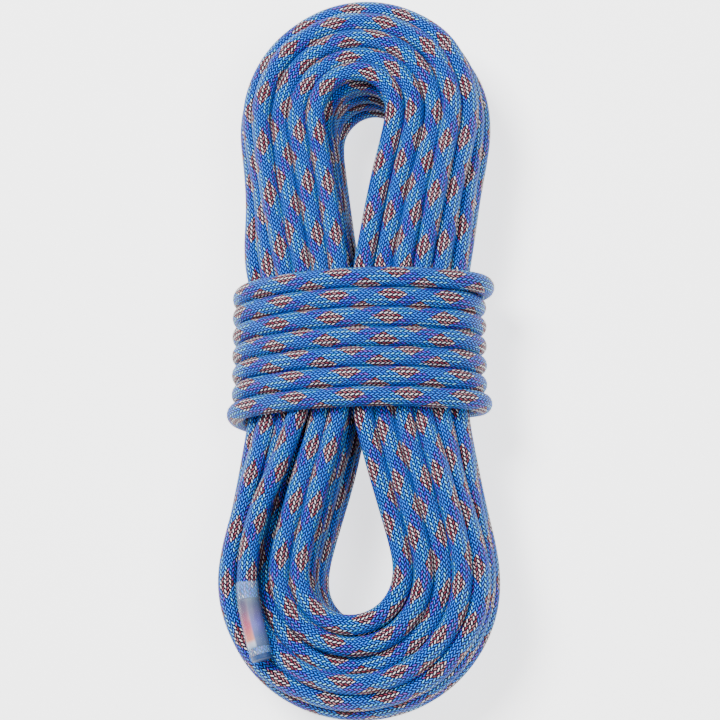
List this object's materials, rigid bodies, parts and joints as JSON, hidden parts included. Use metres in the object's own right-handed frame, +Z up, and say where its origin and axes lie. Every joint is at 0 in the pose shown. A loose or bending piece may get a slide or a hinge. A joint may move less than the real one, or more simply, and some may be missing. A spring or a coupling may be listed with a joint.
{
  "type": "dynamic climbing rope",
  "caption": "Braided dynamic climbing rope laid up as a hank of long loops bound round the middle by its own wrapping turns, with two free sleeved ends.",
  "frame": {"origin": "on the ground, under the middle of the whole hank", "axes": "+X to the right seen from the front, +Y along the hank towards its upper loop, +Z up from the ground, out of the hank's front"},
  "size_m": [0.131, 0.3582, 0.0753],
  "materials": {
    "braided_sheath": "braided nylon, blue with white, red and violet marker yarns, satin",
    "core_yarn": "twisted white nylon yarn, satin",
    "marker_yarn": "twisted coloured yarn",
    "fused_nylon": "melted and reset nylon, glossy and slightly rough",
    "printed_band": "printed film, maroon to orange with a pale end",
    "clear_sleeve": "clear shrink sleeve, glossy"
  },
  "bodies": {
    "coil": {"hank": "braided_sheath", "wrap": "braided_sheath"},
    "front_end": {"front_core_inner_strand_1": "core_yarn", "front_core_inner_strand_2": "core_yarn", "front_core_inner_strand_3": "core_yarn", "front_core_inner_strand_4": "core_yarn", "front_core_outer_strand_1": "core_yarn", "front_core_outer_strand_2": "core_yarn", "front_core_outer_strand_3": "core_yarn", "front_core_outer_strand_4": "core_yarn", "front_core_outer_strand_5": "core_yarn", "front_core_outer_strand_6": "core_yarn", "front_core_outer_strand_7": "core_yarn", "front_core_outer_strand_8": "core_yarn", "front_core_outer_strand_9": "core_yarn", "front_fused_cap": "fused_nylon", "front_marker_thread": "marker_yarn", "front_printed_band": "printed_band", "front_sheath": "braided_sheath", "front_shrink_sleeve": "clear_sleeve"},
    "back_end": {"back_core_inner_strand_1": "core_yarn", "back_core_inner_strand_2": "core_yarn", "back_core_inner_strand_3": "core_yarn", "back_core_inner_strand_4": "core_yarn", "back_core_outer_strand_1": "core_yarn", "back_core_outer_strand_2": "core_yarn", "back_core_outer_strand_3": "core_yarn", "back_core_outer_strand_4": "core_yarn", "back_core_outer_strand_5": "core_yarn", "back_core_outer_strand_6": "core_yarn", "back_core_outer_strand_7": "core_yarn", "back_core_outer_strand_8": "core_yarn", "back_core_outer_strand_9": "core_yarn", "back_fused_cap": "fused_nylon", "back_marker_thread": "marker_yarn", "back_printed_band": "printed_band", "back_sheath": "braided_sheath", "back_shrink_sleeve": "clear_sleeve"}
  },
  "joints": [
    {"name": "front_end_lift", "type": "hinge", "parent": "coil", "child": "front_end", "pos_m": [-0.0285, -0.0415, 0.0606], "axis": [-1, 0, 0], "range_deg": [0, 75]},
    {"name": "back_end_swing", "type": "hinge", "parent": "coil", "child": "back_end", "pos_m": [-0.041, 0.0395, 0.0195], "axis": [0, 0, 1], "range_deg": [0, 60]}
  ]
}
